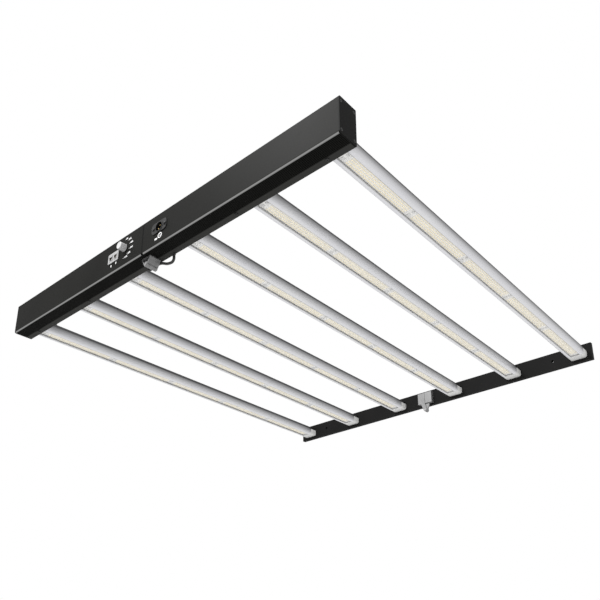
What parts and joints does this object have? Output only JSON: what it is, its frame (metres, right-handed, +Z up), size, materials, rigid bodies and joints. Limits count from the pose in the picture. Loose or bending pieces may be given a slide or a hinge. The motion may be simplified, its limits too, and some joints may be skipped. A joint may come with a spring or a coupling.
{
  "type": "led grow light",
  "caption": "Folding horticultural LED fixture: finned bars under clear covers between a driver beam and a slim far beam, hinged across the middle, with a dimmer dial and sockets.",
  "frame": {"origin": "centre of the fixture's box, on the fold plane, midway from the dial's face to the far beam's back and from the hinge knuckles' lowest point to the hanging lugs' top", "axes": "+X along the driver beam towards the half with the power socket, +Y from the driver beam's front face along the bars to the far beam, +Z up; the LEDs shine towards -Z"},
  "size_m": [1.1, 1.2, 0.1254],
  "materials": {
    "bar_aluminium": "dark anodised",
    "led_board": "white solder mask with cream LED packages",
    "lens": "frosted clear extrusion",
    "housing": "fine matt charcoal powder coat",
    "black_screw": "blackened",
    "circuit_board": "green solder mask",
    "component": "moulded",
    "bracket": "zinc plated",
    "white_plastic": "moulded white",
    "bright_screw": "zinc plated",
    "far_beam": "fine matt charcoal powder coat",
    "hinge": "grey anodised",
    "pin": "ground",
    "socket_plastic": "moulded black",
    "jack_plastic": "moulded black",
    "pot_metal": "plated",
    "knob": "moulded light grey",
    "print": "white ink",
    "contact": "plated",
    "rubber": "matt black",
    "cable": "smooth black jacket"
  },
  "bodies": {
    "left_half": {"heatsink_1": "bar_aluminium", "led_boards_1": "led_board", "lens_1": "lens", "heatsink_2": "bar_aluminium", "led_boards_2": "led_board", "lens_2": "lens", "heatsink_3": "bar_aluminium", "led_boards_3": "led_board", "lens_3": "lens", "driver_housing_left": "housing", "driver_caps_left": "housing", "black_screws_left": "black_screw", "driver_board_left": "circuit_board", "driver_components_left": "component", "bar_brackets_left": "bracket", "bar_caps_left": "white_plastic", "pan_screws_left": "bright_screw", "far_beam_left": "far_beam", "far_caps_left": "far_beam", "hanging_lug_left": "bracket", "near_hinge_left": "hinge", "near_hinge_pin": "pin", "far_hinge_clevis": "hinge", "far_hinge_pin": "pin", "port_plate": "pot_metal", "signal_jacks": "pot_metal", "control_board": "circuit_board", "dimmer_pot": "pot_metal", "panel_marks": "print", "cable_elbow": "rubber", "jumper_cable": "cable"},
    "right_half": {"heatsink_4": "bar_aluminium", "led_boards_4": "led_board", "lens_4": "lens", "heatsink_5": "bar_aluminium", "led_boards_5": "led_board", "lens_5": "lens", "heatsink_6": "bar_aluminium", "led_boards_6": "led_board", "lens_6": "lens", "driver_housing_right": "housing", "driver_caps_right": "housing", "black_screws_right": "black_screw", "driver_board_right": "circuit_board", "driver_components_right": "component", "bar_brackets_right": "bracket", "bar_caps_right": "white_plastic", "pan_screws_right": "bright_screw", "far_beam_right": "far_beam", "far_caps_right": "far_beam", "hanging_lug_right": "bracket", "near_hinge_right": "hinge", "far_hinge_tang": "hinge", "power_inlet": "socket_plastic", "inlet_pins": "contact", "inlet_mark": "print", "cable_gland": "rubber"},
    "dimmer": {"dimmer_shaft": "pin", "dimmer_knob": "knob"}
  },
  "joints": [
    {"name": "fold", "type": "hinge", "parent": "left_half", "child": "right_half", "pos_m": [0, -0.58395, -0.05675], "axis": [0, 1, 0], "range_deg": [0, 180], "deforming": ["jumper_cable"]},
    {"name": "dimmer_turn", "type": "hinge", "parent": "left_half", "child": "dimmer", "pos_m": [-0.067, -0.58395, 0.00675], "axis": [0, 1, 0], "range_deg": [0, 160]}
  ]
}
